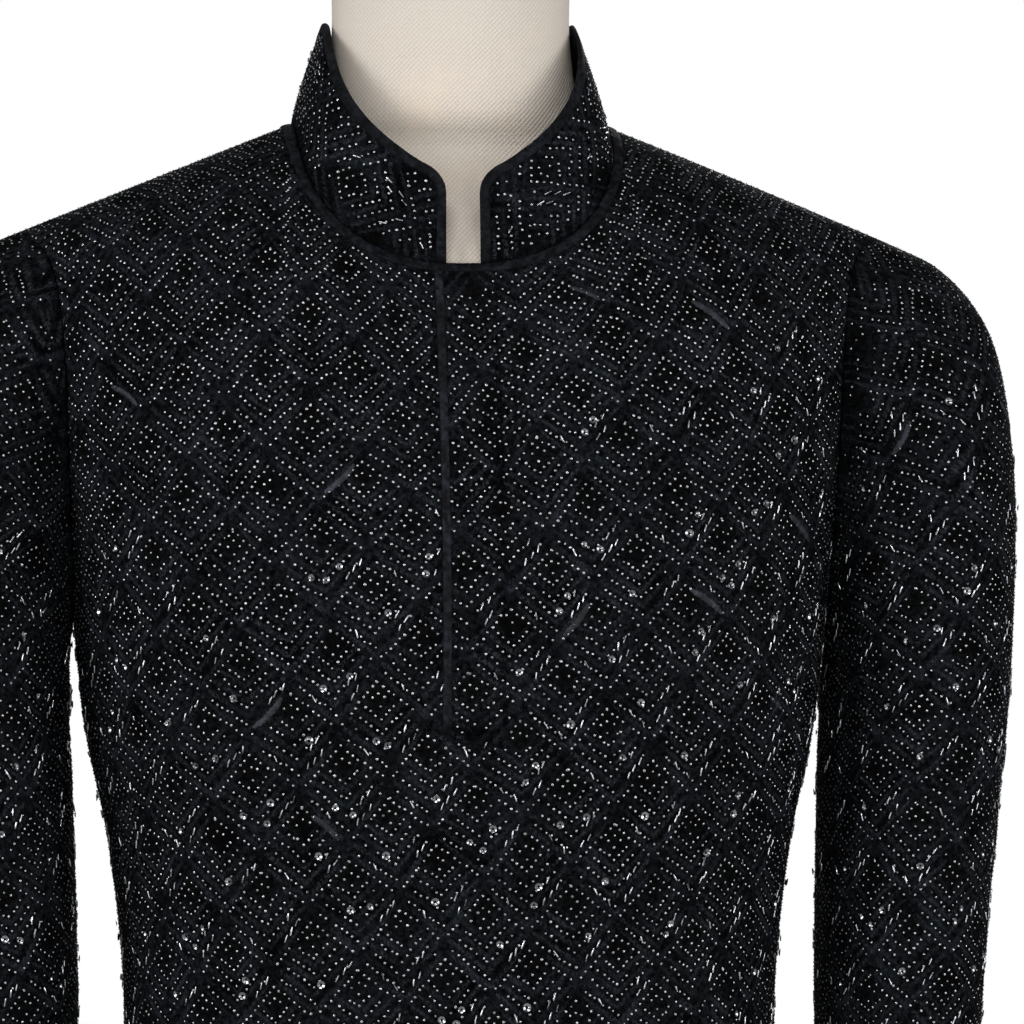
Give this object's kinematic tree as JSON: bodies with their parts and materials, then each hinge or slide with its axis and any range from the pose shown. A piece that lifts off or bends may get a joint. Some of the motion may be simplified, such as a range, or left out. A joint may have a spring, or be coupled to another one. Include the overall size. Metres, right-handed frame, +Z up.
{
  "type": "sherwani coat on a dress form",
  "caption": "Long black embroidered sherwani coat with a band collar, on a linen dress form with a round stand.",
  "frame": {"origin": "centre of the round base, on the floor", "axes": "+Z up, the coat faces -Y, the wearer's left is +X"},
  "size_m": [0.6046, 0.32, 1.6563],
  "materials": {
    "coat_cloth": "black cloth covered in dark thread embroidery",
    "coat_trim": "plain black satin binding",
    "form_linen": "unbleached linen, matte",
    "cap_wood": "turned and oiled",
    "stand_metal": "black powder coat",
    "beads": "silver seed beads, bugle beads and sequins"
  },
  "bodies": {
    "root": {"front": "coat_cloth", "back": "coat_cloth", "placket": "coat_cloth", "sleeve_right": "coat_cloth", "sleeve_left": "coat_cloth", "collar": "coat_cloth", "collar_binding": "coat_trim", "neckline_band": "coat_trim", "form_torso": "form_linen", "neck_cap": "cap_wood", "stand_pole": "stand_metal", "stand_base": "stand_metal"}
  },
  "joints": []
}
